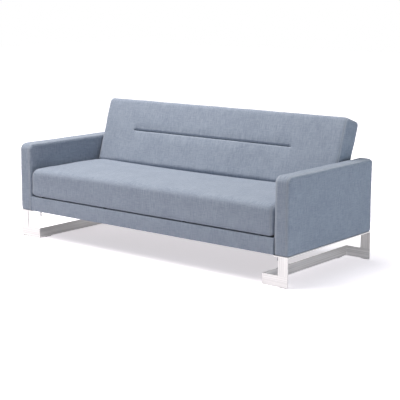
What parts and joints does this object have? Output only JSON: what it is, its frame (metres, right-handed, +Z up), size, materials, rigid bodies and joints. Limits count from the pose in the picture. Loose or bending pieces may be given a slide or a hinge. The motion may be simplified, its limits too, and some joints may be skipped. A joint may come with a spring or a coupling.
{
  "type": "sofa bed",
  "caption": "Bench-seat click-clack sofa bed with slim track arms on flat-bar sled legs; the seat lifts at the front and the back reclines level with it.",
  "frame": {"origin": "on the floor, under the centre of the sofa's bounding box", "axes": "+X to the right seen from the front, +Y to the rear, +Z up; the seat faces -Y"},
  "size_m": [2.08, 0.8503, 0.8356],
  "materials": {
    "upholstery": "blue-grey slubbed woven fabric",
    "leg_steel": "polished stainless flat bar with a fine brushed grain",
    "zinc_steel": "zinc-plated steel",
    "timber": "plain sawn softwood and beech",
    "dark_cloth": "black non-woven cloth and webbing",
    "rubber": "matt black rubber"
  },
  "bodies": {
    "base": {"left_sled_leg": "leg_steel", "right_sled_leg": "leg_steel", "left_glides": "rubber", "right_glides": "rubber", "leg_bolts": "zinc_steel", "leg_nuts": "zinc_steel", "leg_screws": "zinc_steel", "left_arm_cover": "upholstery", "right_arm_cover": "upholstery", "left_arm_frame": "timber", "right_arm_frame": "timber", "front_rail": "timber", "rear_rail": "timber", "left_side_rail": "timber", "right_side_rail": "timber", "left_base_bearer": "timber", "right_base_bearer": "timber", "corner_blocks": "timber", "front_rail_cover": "upholstery", "rear_rail_cover": "upholstery", "base_dust_cover": "dark_cloth", "arm_bolts": "zinc_steel", "seat_buffers": "rubber", "back_stops": "timber", "left_hinge_bracket": "zinc_steel", "right_hinge_bracket": "zinc_steel", "bracket_screws": "zinc_steel"},
    "seat": {"seat_pad": "upholstery", "seat_front_rail": "timber", "seat_rear_rail": "timber", "seat_left_rail": "timber", "seat_right_rail": "timber", "left_seat_cross_rail": "timber", "right_seat_cross_rail": "timber", "seat_slats": "timber", "seat_dust_cover": "dark_cloth", "left_seat_lever": "zinc_steel", "right_seat_lever": "zinc_steel", "seat_lever_bolts": "zinc_steel", "left_ratchet_drum": "zinc_steel", "right_ratchet_drum": "zinc_steel"},
    "back": {"back_pad": "upholstery", "back_top_rail": "timber", "back_bottom_rail": "timber", "back_left_stile": "timber", "back_right_stile": "timber", "left_back_mid_stile": "timber", "right_back_mid_stile": "timber", "back_webbing": "dark_cloth", "back_panel": "upholstery", "left_back_lever": "zinc_steel", "right_back_lever": "zinc_steel", "back_lever_bolts": "zinc_steel", "left_ratchet_disc": "zinc_steel", "right_ratchet_disc": "zinc_steel", "left_pivot_bolt": "zinc_steel", "right_pivot_bolt": "zinc_steel", "pivot_nuts": "zinc_steel", "hinge_washers": "zinc_steel"}
  },
  "joints": [
    {"name": "back_recline", "type": "hinge", "parent": "base", "child": "back", "pos_m": [0, 0.19161, 0.4], "axis": [-1, 0, 0], "range_deg": [0, 70.5]},
    {"name": "seat_lift", "type": "hinge", "parent": "base", "child": "seat", "pos_m": [0, 0.19161, 0.4], "axis": [-1, 0, 0], "range_deg": [0, 16]}
  ]
}
